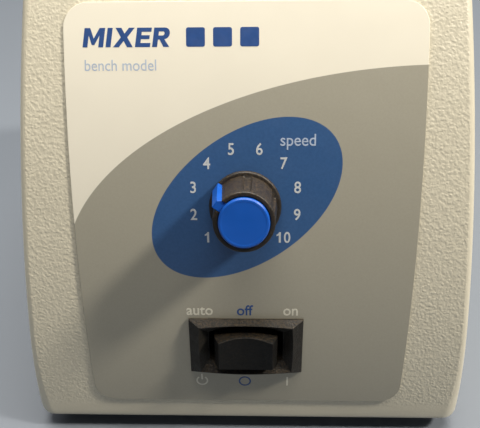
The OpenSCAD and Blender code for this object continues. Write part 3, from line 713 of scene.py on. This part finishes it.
def block_word(height, x, s):
    """The word MIXER in heavy slanting letters drawn as polygons of height 1, starting at x."""
    m = [(0, 0), (0, 1), (0.3, 1), (0.55, 0.45), (0.8, 1), (1.1, 1), (1.1, 0), (0.84, 0), (0.84, 0.62),
         (0.62, 0.12), (0.48, 0.12), (0.26, 0.62), (0.26, 0)]
    i = [(0, 0), (0, 1), (0.27, 1), (0.27, 0)]
    cross = [(0, 0), (0.36, 0.51), (0.02, 1), (0.33, 1), (0.53, 0.7), (0.73, 1), (1.04, 1), (0.7, 0.51),
             (1.06, 0), (0.75, 0), (0.53, 0.32), (0.31, 0)]
    e = [(0, 0), (0, 1), (0.78, 1), (0.78, 0.79), (0.27, 0.79), (0.27, 0.61), (0.72, 0.61), (0.72, 0.41),
         (0.27, 0.41), (0.27, 0.21), (0.8, 0.21), (0.8, 0)]
    r = rounded_path([(0, 0), (0, 1), (0.86, 1, 0.29), (0.86, 0.4, 0.28), (0.6, 0.4), (0.92, 0), (0.6, 0),
                      (0.36, 0.38), (0.27, 0.38), (0.27, 0)], True)
    r_eye = rounded_path([(0.27, 0.8), (0.58, 0.8, 0.09), (0.58, 0.59, 0.09), (0.27, 0.59)], True)
    slant, gap = 0.14, 0.13
    loops, start = [], 0.0
    for shapes, width in (([m], 1.1), ([i], 0.27), ([cross], 1.04), ([e], 0.78), ([r, r_eye], 0.9)):
        loops += [[(x + height * (start + a + slant * b), s + height * (b - 0.5)) for a, b in shape]
                  for shape in shapes]
        start += width + gap
    return printed("word", loops)


def print_on_label(name, meshes, material):
    """Joins flat meshes into one printed piece that lies on the label."""
    shape = bmesh.new()
    for mesh in meshes:
        shape.from_mesh(bend_to_front(mesh, LABEL_TOP))
    mesh = bpy.data.meshes.new(name)
    shape.to_mesh(mesh)
    shape.free()
    return finish_piece(object_of(name, mesh), material, "root", weighted=False)


def ring_shape(x, s, radius, line, gap=0.0):
    """A ring of that line width, open by gap degrees at its top."""
    if not gap:
        loops = [circle(x, s, radius), circle(x, s, radius - line)]
    else:
        start = 90 + gap / 2
        stop = start + 360 - gap
        loops = [arc((x, s), radius, start, stop, 40) + arc((x, s), radius - line, stop, start, 40)]
    return printed("ring", loops)


def bar_shape(x, s, width, height):
    """A rectangle centred on (x, s), with slightly round corners."""
    corner = min(width, height) * 0.1
    return printed("bar", [[(x + w, s + h) for w, h in rounded_box(width, height, corner, 2)]])


def legends():
    """Everything that is printed on the label."""
    pale, blue = ink("ink_pale", (190, 193, 194)), ink("ink_blue", (38, 72, 128))
    mist, warm = ink("ink_mist", (168, 180, 198)), ink("ink_warm", (212, 207, 190))
    dial_r, digit_h = 13.1 * MM, 2.7 * MM
    digits = []
    for i in range(10):
        a = radians(225 - 30 * i)
        x, s = dial_r * cos(a), DIAL_S + dial_r * sin(a)
        if i == 0:
            digits.append(figure_one(digit_h, x, s))
        elif i == 9:
            digits += [figure_one(digit_h, x - 0.75 * MM, s),
                       letters("0", digit_h, x + 1.05 * MM, s, narrow=0.86)]
        else:
            digits.append(letters(str(i + 1), digit_h, x, s, narrow=0.9))
    print_on_label("dial_numbers", digits, pale)
    print_on_label("dial_word", [letters("speed", 2.75 * MM, 12.6 * MM, 83.1 * MM, 0.004, 0.92)], mist)

    def word(text, x):
        """One of the words over the switch."""
        return letters(text, 2.9 * MM, x, 38.7 * MM, narrow=0.91)

    print_on_label("switch_words", [word("auto", -12.05 * MM), word("on", 11.6 * MM)], warm)
    print_on_label("switch_word_off", [word("off", -0.2 * MM)], blue)
    signs = [ring_shape(-12.2 * MM, 15.5 * MM, 1.65 * MM, 0.42 * MM, 70),
             bar_shape(-12.2 * MM, 16.9 * MM, 0.4 * MM, 2.0 * MM),
             bar_shape(11.25 * MM, 15.45 * MM, 0.45 * MM, 3.1 * MM)]
    print_on_label("switch_signs", signs, warm)
    print_on_label("switch_sign_off", [ring_shape(-0.4 * MM, 15.4 * MM, 1.7 * MM, 0.42 * MM)], blue)

    mark_h, mark_s = 4.4 * MM, 106.8 * MM
    header = [block_word(mark_h, -38 * MM, mark_s)]
    header += [bar_shape((-11.5 + 6.3 * i) * MM, mark_s, mark_h, mark_h) for i in range(3)]
    print_on_label("header_mark", header, blue)
    line = letters("bench model", 2.5 * MM, -37.6 * MM, 100.5 * MM, 0.0, 0.9, "start")
    print_on_label("header_line", [line], mist)


# ---------- speed knob ----------

# heights are above the front face
KNOB_RIM, KNOB_CAP, CAP_POCKET = 15.9 * MM, 16.8 * MM, 14.7 * MM
KNOB_FOOT_R, KNOB_RIM_R = 7.7 * MM, 6.9 * MM
FLANGE_R, FLANGE_Z = 8.75 * MM, 2.5 * MM
POINTER = radians(145)      # where the cap's bar points at rest, from the right
GROOVES = 6


def knob_radius(z):
    """Radius of the knob's side at height z."""
    return KNOB_FOOT_R - (KNOB_FOOT_R - KNOB_RIM_R) * (z - FLANGE_Z) / (KNOB_RIM - FLANGE_Z)


def knob():
    """Tapered body with six broad grooves on a round flange, hollow under its cap."""
    sides = 360
    depth, half_width = 0.42 * MM, radians(8.5)     # of a groove
    low, high = 2.75 * MM, KNOB_RIM - 1.1 * MM      # its ends
    slope, run_out = radians(2), 0.5 * MM           # of its sides and its upper end
    lip, lip_half_width = 0.06 * MM, radians(1.5)   # of the raised line along its sides
    bore_r = 6 * MM     # the grooves lie outside this
    outer = rounded_path([(6.2 * MM, 1 * MM), (FLANGE_R, 1 * MM, 0.3 * MM), (FLANGE_R, FLANGE_Z, 0.55 * MM),
                          (KNOB_FOOT_R + 0.05 * MM, FLANGE_Z, 0.2 * MM)])
    outer += [(knob_radius(z), z) for z in [low + (high - low) * k / 14 for k in range(15)]]
    outer += rounded_path([(knob_radius(high + 0.2 * MM), high + 0.2 * MM), (KNOB_RIM_R, KNOB_RIM, 0.4 * MM),
                           (5.95 * MM, KNOB_RIM, 0.15 * MM), (5.75 * MM, KNOB_RIM - 0.3 * MM),
                           (5.75 * MM, CAP_POCKET)])
    inner = [(4.5 * MM, CAP_POCKET), (4.5 * MM, 11.5 * MM), (3.02 * MM, 11.5 * MM), (3.02 * MM, 7 * MM),
             (3.8 * MM, 7 * MM), (3.8 * MM, 3.4 * MM), (6.2 * MM, 3.4 * MM)]
    rings = []
    for r, z in outer + inner + outer[:1]:
        grooved = r > bore_r and low <= z <= high + SAME_POINT
        here = max(0.0, depth * min(1.0, (high - z) / run_out)) if grooved else 0.0
        ring = []
        for j in range(sides):
            a = 2 * pi * j / sides
            off = abs((a + pi / GROOVES) % (2 * pi / GROOVES) - pi / GROOVES)
            cut = here * max(0.0, min(1.0, (half_width - off) / slope))
            rise = lip if here > 0 and abs(off - half_width) < lip_half_width else 0.0
            ring.append(((r - cut + rise) * cos(a), (r - cut + rise) * sin(a), z))
        rings.append(ring)
    turned = moved(skin(rings, False, False), Matrix.Rotation(POINTER, 4, "Z"))
    piece = make("knob_body", fronted(turned, KNOB_S))
    slot_w, seat = 2.7 * MM, FLANGE_Z + 0.02 * MM
    step = [(5.2 * MM, CAP_POCKET), (6.5 * MM, CAP_POCKET), (6.5 * MM, seat), (14.5 * MM, seat),
            (14.5 * MM, 18 * MM), (5.2 * MM, 18 * MM)]
    upright = Matrix.Rotation(POINTER, 4, "Z") @ Matrix.Rotation(pi / 2, 4, "X")
    slot = moved(prism(step, -slot_w / 2, slot_w / 2), upright)
    carve(piece, make("slot", fronted(slot, KNOB_S)))
    black = plastic("knob_black", (34, 30, 26), 0.45, 0.5, 0.05, 0.14, specular_ior_level=0.35)
    return finish_piece(piece, black, "knob", ["speed_knob"], 50, False)


def cap():
    """Blue cap: a flat disc with a bevelled rim, and a square bar that runs out and down to the flange."""
    seat, rim_r = CAP_POCKET + 0.05 * MM, 5.7 * MM
    disc = lathe([(0, seat), (rim_r, seat)]
                 + rounded_path([(rim_r, seat + 0.1 * MM), (rim_r, KNOB_CAP - 0.28 * MM, 0.1 * MM),
                                 (5.38 * MM, KNOB_CAP, 0.12 * MM), (4.95 * MM, KNOB_CAP, 0.1 * MM),
                                 (4.85 * MM, KNOB_CAP - 0.05 * MM), (0, KNOB_CAP - 0.05 * MM)]), 120, False)
    half, arm_top = 1.3 * MM, 15.6 * MM

    def bar(z, out, corner, grow=0.0):
        """One level of the bar, with a cut corner on its far side."""
        w, start, chamfer = half + grow, 4.6 * MM, 0.15 * MM
        return [(start, -w, z), (out - corner * 1.3, -w, z), (out, corner - w, z), (out, w - chamfer, z),
                (out - chamfer, w, z), (start, w, z)]

    def reach(z):
        """How far out the bar's end lies at height z."""
        return FLANGE_R - 1.05 * MM * (z - FLANGE_Z) / (arm_top - FLANGE_Z)

    heights = [z * MM for z in (2.56, 4, 6, 8, 10, 12, 14, 15.3)]
    levels = [bar(z, reach(z), 0.12 * MM + 0.036 * z) for z in heights]
    levels += [bar(arm_top - 0.1 * MM, reach(arm_top) - 0.06 * MM, 0.66 * MM, -0.04 * MM),
               bar(arm_top, reach(arm_top) - 0.2 * MM, 0.66 * MM, -0.12 * MM)]
    place = front_frame(KNOB_S) @ Matrix.Rotation(POINTER, 4, "Z")
    piece = make("knob_cap_blue", joined([fronted(disc, KNOB_S), moved(skin(levels), place)]))
    blue = plastic("cap_blue", (20, 82, 172), 0.34, 0.8, 0.004, specular_ior_level=0.35)
    return finish_piece(piece, blue, "knob", ["knob_cap"], 28)


# ---------- rocker switch ----------

BARREL_STEPS = 16       # along each long edge


def barrel(width, height, bow, end_bow=0.0):
    """A rectangle with long edges that bulge by bow and ends by end_bow, anticlockwise from lower left."""
    ts = [2 * k / BARREL_STEPS - 1 for k in range(BARREL_STEPS + 1)]
    low = [(width / 2 * t, -height / 2 - bow * (1 - t * t)) for t in ts]
    end = [(width / 2 + end_bow * (1 - t * t), height / 2 * t) for t in (-0.6, -0.2, 0.2, 0.6)]
    return low + end + [(-x, -y) for x, y in low + end]


def bezel():
    """Frame with four sloping sides round a bowed recess, and the body behind it."""
    # width, height, bow, end bow and height above the face of each level, in mm
    sizes = [(30, 17, 0, 0, 0.56), (30, 17, 0, 0, 0.95), (29.8, 16.8, 0, 0, 1.15),
             (24.6, 14.35, 0.7, 0.2, 2.92), (24.2, 14.1, 0.8, 0.3, 3.0), (23.9, 13.7, 0.8, 0.3, 2.92),
             (20.6, 9.8, 1.8, 0.2, 1.2), (20.0, 9.0, 1.8, 0.1, 0.9), (20.0, 9.0, 1.8, 0.1, 0.5)]
    levels = [at_height(barrel(*size), z) for *size, z in in_mm(sizes)]
    body = [at_height(barrel(26.8 * MM, 13.8 * MM, 0), z) for z in (-20 * MM, 0.56 * MM)]
    piece = make("switch_bezel", fronted(skin(body + levels), SWITCH_S))
    well = skin([at_height(barrel(19.6 * MM, 8.6 * MM, 1.8 * MM, 0.1 * MM), z) for z in (-13 * MM, 5 * MM)])
    carve(piece, make("well", fronted(well, SWITCH_S)))
    black = plastic("switch_black", (26, 24, 20), 0.5, 0.4, 0.2, 0.12, specular_ior_level=0.3)
    return finish_piece(piece, black, "root", ["switch_body"], 25)


def rocker():
    """Barrel-shaped rocker with a dished face and flared ends."""
    face_half, dish, bow = 7.0 * MM, 1.3 * MM, 1.0 * MM

    def level(width, height, z, dished=1.0):
        """One level of the rocker, in mm, sunk to that share of the dish."""
        ring = []
        for x, y in barrel(width * MM, height * MM, bow):
            sink = dish * max(0.0, 1 - (x / face_half) ** 2) * dished
            ring.append((x, y, z * MM - sink))
        return ring

    levels = [level(8, 8.4, -7.5, 0), level(16.6, 8.4, -5.5, 0), level(16.6, 8.4, 2.4, 0),
              level(16.3, 8.4, 2.9, 0.1), level(14.3, 8.4, 5.25), level(14.15, 8.3, 5.5),
              level(13.9, 8.05, 5.66), level(13.4, 7.6, 5.7)]
    points, faces = skin(levels, True, False)
    # strips close the face from one long edge to the other, with one face at each end
    half, last = len(levels[0]) // 2, BARREL_STEPS
    near = [len(points) - 2 * half + k for k in range(half)]
    far = [n + half for n in near]
    faces += [(near[k], near[k + 1], far[last - k - 1], far[last - k]) for k in range(1, last - 1)]
    faces += [(near[0], near[1], far[last - 1], *far[last:]),
              (far[0], far[1], near[last - 1], *near[last:])]
    piece = make("rocker_key", fronted((points, faces), SWITCH_S))
    pin_r, pin_half, pin_z = 1.5 * MM, 6.7 * MM, -3.5 * MM
    # half a side's turn keeps the pin's corners off the rocker's walls
    turned = Matrix.Rotation(pi / 2, 4, "X") @ Matrix.Rotation(pi / 32, 4, "Z")
    pin = moved(rod(pin_r, -pin_half, pin_half),
                front_frame(SWITCH_S) @ Matrix.Translation((0, 0, pin_z)) @ turned)
    carve(piece, make("pin", pin), "UNION")
    black = plastic("rocker_black", (13, 13, 12), 0.5, 0.45, 0.08, 0.08, specular_ior_level=0.18)
    return finish_piece(piece, black, "rocker", ["rocker"], 28)


# ---------- neck, cup and feet ----------


def neck():
    """Collar that stands in the deck opening."""
    profile = rounded_path(in_mm([
        (16.6, 124, 0.3), (18.9, 124, 0.3), (18.9, 129.0, 0), (24, 129.0, 0), (24, 130.4, 0.8),
        (21.0, 130.6, 0.6), (20.8, 137, 0.9), (16.6, 137, 0.9)]), True)
    piece = make("neck_collar", lifted(lathe(profile), AXIS.x, AXIS.y))
    black = plastic("neck_black", (42, 42, 41), 0.5, 0.4, 0.02)
    return finish_piece(piece, black, "root", ["neck_ring"], 40)


def cup():
    """Rubber cup: a skirt over the neck, a waist, and a dished seat inside a round lip."""
    waist = [(26.6 - 5.8 * (1 - cos(pi * k / 20)) / 2, 142 + 18 * k / 20) for k in range(21)]
    outline = [(0, 144.8), (12, 144.8), (12, 142.62), (23.42, 142.62), (23.42, 139.6), (22.9, 139.6),
               (22.9, 139.2), (23.9, 138.8), (23.9, 133.9), (24.3, 133.4), (25.6, 133.4), (26.3, 133.7),
               (26.6, 134.4)]
    outline += waist + [(21.0, 162.2)] + arc((20.2, 164), 1, 0, 90, 8) + arc((17.6, 164), 1, 90, 165, 6)
    outline += [(4.5 + 12 * cos(radians(a)), 164 - 11 * sin(radians(a))) for a in range(8, 91, 6)]
    outline += [(4.5, 152.4), (4.3, 150.3), (3.9, 150), (0, 150)]
    piece = make("cup_body", lifted(lathe(in_mm(outline), 120, False), HEAD.x, HEAD.y))
    return finish_piece(piece, rubber("cup_black", (40, 39, 38)), "head", ["rubber_cup"], 40)


def feet():
    """Four suction feet."""
    profile = rounded_path(in_mm([
        (6.9, 0, 0.2), (9.5, 0, 0.4), (9.5, 1.6, 0.6), (8.3, 6, 0.2), (2.02, 6, 0), (2.02, 4, 0), (4, 4, 0.2),
        (4, 1.6, 0.2), (5.5, 1.6, 0.2)]), True, 3)
    spots = [(x, y) for x in (-44 * MM, 44 * MM) for y in (FRONT_Y + 27 * MM, REAR_Y - 27 * MM)]
    piece = make("suction_feet", joined([lifted(lathe(profile, 64), x, y) for x, y in spots]))
    black = rubber("foot_black", (36, 35, 34))
    return finish_piece(piece, black, "root", ["rubber_feet"], 40)


def springs():
    """Four coil springs between their seats and the bushes."""
    wire, radius, turns, steps, sides = 0.7 * MM, 5.6 * MM, 5, 24, 10
    bottom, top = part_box("spring_seats")[1].z + wire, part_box("guide_bushes")[0].z - wire
    around = [2 * pi * j / sides for j in range(sides)]
    section = [(radius + wire * cos(b), wire * sin(b)) for b in around]
    rings = []
    for i in range(turns * steps + 1):
        a, z = 2 * pi * i / steps, bottom + (top - bottom) * i / (turns * steps)
        rings.append([(r * cos(a), r * sin(a), z + up) for r, up in section])
    low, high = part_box("return_springs")
    reach = radius + wire
    spots = [(x, y) for x in (low.x + reach, high.x - reach) for y in (low.y + reach, high.y - reach)]
    piece = make("coil_springs", joined([lifted(skin(rings), x, y) for x, y in spots]))
    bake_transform(piece)
    steel = metal("spring_wire", (152, 154, 158), 0.3)
    return finish_piece(piece, steel, None, ["return_springs"], 40, False)


# ---------- pieces that keep their CAD shape ----------


def layered(name, tint, rough, pitch, depth, metallic=0.0, dark=0.7):
    """Fine layers stacked in height, such as laminations or the turns of a winding."""
    f = Finish(name, tint, rough, metallic=metallic)
    waver = f.times(f.noise(3 * MM), 0.1 * MM)
    height = f.math("ADD", f.parts(f.place)[2], waver)
    wave = f.math("PINGPONG", height, pitch / 2)
    ridge = f.spread(wave, 0.0, pitch / 2)
    f.set("Base Color", f.mix(ridge, f.shade(dark), f.tint))
    f.uneven_gloss(3 * MM, rough * 0.8, rough * 1.25)
    f.bump(ridge, depth)
    return f.material


def laminate_board():
    """Green circuit board with a woven look and paler tracks."""
    f = Finish("board_green", (38, 92, 62), 0.35)
    tracks = f.spread(f.cells(2.4 * MM, "F1"), 0.28, 0.34)
    f.set("Base Color", f.mix(tracks, colour(58, 122, 84), f.tint))
    f.bump(f.noise(0.4 * MM, 1.0), 0.01 * MM)
    return f.material


def finishes():
    """One finish for each slot of the CAD pieces that stay in use."""
    return {
        "steel_plate": metal("steel_sheet", (150, 152, 154), 0.34, brushed=(1, 0.03, 1)),
        "screw_steel": metal("screw_zinc", (186, 187, 186), 0.28),
        "plate_foil": metal("plate_foil", (205, 206, 204), 0.32, brushed=(0.03, 1, 1)),
        "spring_steel": metal("spring_strip", (152, 154, 158), 0.3),
        "pot_metal": metal("pot_nickel", (178, 176, 168), 0.32),
        "switch_plastic": plastic("inner_black", (30, 30, 31), 0.45),
        "brass_parts": metal("brass_tin", (196, 164, 96), 0.3),
        "board": laminate_board(),
        "nylon": plastic("nylon_white", (222, 220, 210), 0.5, 0.8, 0.01),
        "capacitor_sleeve": plastic("sleeve_navy", (34, 44, 70), 0.3, 1.2, 0.004),
        "black_aluminium": metal("anodised_black", (44, 44, 46), 0.42),
        "terminal_green": plastic("terminal_green", (48, 120, 78), 0.42),
        "wire_brown": plastic("wire_brown", (94, 62, 40), 0.4, 0.6, 0.01),
        "wire_blue": plastic("wire_blue", (42, 74, 140), 0.4, 0.6, 0.01),
        "bronze": metal("bronze_sintered", (168, 122, 72), 0.42, cast=0.02),
        "lamination": layered("lamination_stack", (128, 130, 134), 0.4, 0.5 * MM, 0.03 * MM, 1.0),
        "copper": layered("winding_enamel", (150, 74, 38), 0.32, 0.6 * MM, 0.12 * MM, 0.6),
        "cast_aluminium": metal("cast_aluminium", (176, 178, 178), 0.48, cast=0.05),
        "ground_steel": metal("ground_steel", (196, 197, 199), 0.2, brushed=(1, 1, 0.03)),
        "fan_plastic": plastic("fan_grey", (52, 55, 58), 0.5),
        "foot_rubber": rubber("buffer_rubber", (36, 35, 34)),
        "fuse_glass": plastic("fuse_ceramic", (216, 212, 200), 0.25, 1.0, 0.004),
    }


# how wide the small rounds on a CAD piece's edges are, in mm
BEVELLED = {"inlet_body": 0.35, "fuse_drawer": 0.3, "base_plate": 0.25, "rating_plate": 0.12,
            "base_screws": 0.2, "foot_screws": 0.2, "pot_nut": 0.2, "motor_plate": 0.3,
            "top_bracket": 0.4, "bottom_bracket": 0.4, "switch_terminals": 0.1, "inlet_pins": 0.3,
            "head_platform": 0.3, "guide_posts": 0.15}


def dress():
    """Gives each CAD piece that stays in use its slot's finish and its small rounds."""
    slots = {part["node"]: part["material_slot"] for part in frame["record"]["subparts"]}
    looks = finishes()
    for name, piece in frame["nodes"].items():
        if name in REPLACED:
            continue
        piece.data.materials.clear()
        piece.data.materials.append(looks[slots[name]])
        piece.data.shade_smooth()
        piece.data.set_sharp_from_angle(angle=radians(32))
        piece.modifiers.new("weld", "WELD").merge_threshold = 0.001 * MM
        flat = piece.modifiers.new("flat", "DECIMATE")
        flat.decimate_type, flat.angle_limit = "DISSOLVE", radians(0.5)
        if name in BEVELLED:
            edge = piece.modifiers.new("edge", "BEVEL")
            edge.width, edge.segments = BEVELLED[name] * MM, 2
            edge.limit_method, edge.angle_limit = "ANGLE", radians(40)
        piece.modifiers.new("normals", "WEIGHTED_NORMAL").keep_sharp = True


# ---------- stage, light and camera ----------


def stage():
    """Pale bench top and soft lights."""
    side, corner, thick = 3.0, 0.2, 0.02
    bench = make("bench_top", prism(rounded_box(side, side, corner), -thick, 0.0))
    pale = Finish("bench_pale", (106, 112, 120), 0.5)
    pale.mottle(0.4, 0.03)
    bench.data.materials.append(pale.material)
    world = bpy.data.worlds.new("studio")
    bpy.context.scene.world = world
    world.use_nodes = True
    sky = world.node_tree.nodes["Background"].inputs
    sky["Color"].default_value = (0.86, 0.9, 1.0, 1)
    sky["Strength"].default_value = 0.1
    face, middle = (0, -0.06, 0.07), (0, 0, 0.08)       # what the lamps are turned to
    lamps = [("ceiling", (0.05, 0.18, 1.5), face, 1.4, 46.0, (1.0, 0.965, 0.9)),
             ("right", (0.97, -0.25, 1.06), face, 0.18, 21.5, (1.0, 0.94, 0.84)),
             ("window", (-0.25, -1.6, 0.85), middle, 0.9, 0.3, (0.97, 0.98, 1.0)),
             ("rim", (-0.9, 0.7, 0.9), middle, 0.6, 2.5, (0.95, 0.97, 1.0))]
    for name, place, target, size, watts, tint in lamps:
        data = bpy.data.lights.new(name, "AREA")
        data.shape, data.size, data.energy, data.color = "DISK", size, watts, tint
        lamp = object_of(name, data)
        lamp.location = place
        towards = Vector(target) - Vector(place)
        lamp.rotation_euler = towards.to_track_quat("-Z", "Y").to_euler()


def camera():
    """Looks down on the control face from close in front of it."""
    eye = Vector((2.56 * MM, FRONT_Y - 107.39 * MM, FOOT_GAP + 141.74 * MM))
    pitch, yaw, roll = radians(33.345), radians(-1.876), radians(-0.954)
    ahead = Vector((sin(yaw) * cos(pitch), cos(yaw) * cos(pitch), -sin(pitch)))
    right = Vector((cos(yaw), -sin(yaw), 0))
    up = right.cross(ahead)
    right, up = right * cos(roll) + up * sin(roll), up * cos(roll) - right * sin(roll)
    data = bpy.data.cameras.new("view")
    data.lens, data.sensor_width, data.clip_start = 43.275, 36, 0.01
    made = object_of("view", data)
    turn = Matrix((right, up, -ahead)).transposed()
    made.matrix_world = Matrix.Translation(eye) @ turn.to_4x4()
    bpy.context.scene.camera = made


bpy.context.scene.view_settings.view_transform = "Standard"
camera()
stage()
housing()
label()
legends()
knob()
cap()
bezel()
rocker()
neck()
cup()
feet()
springs()
dress()
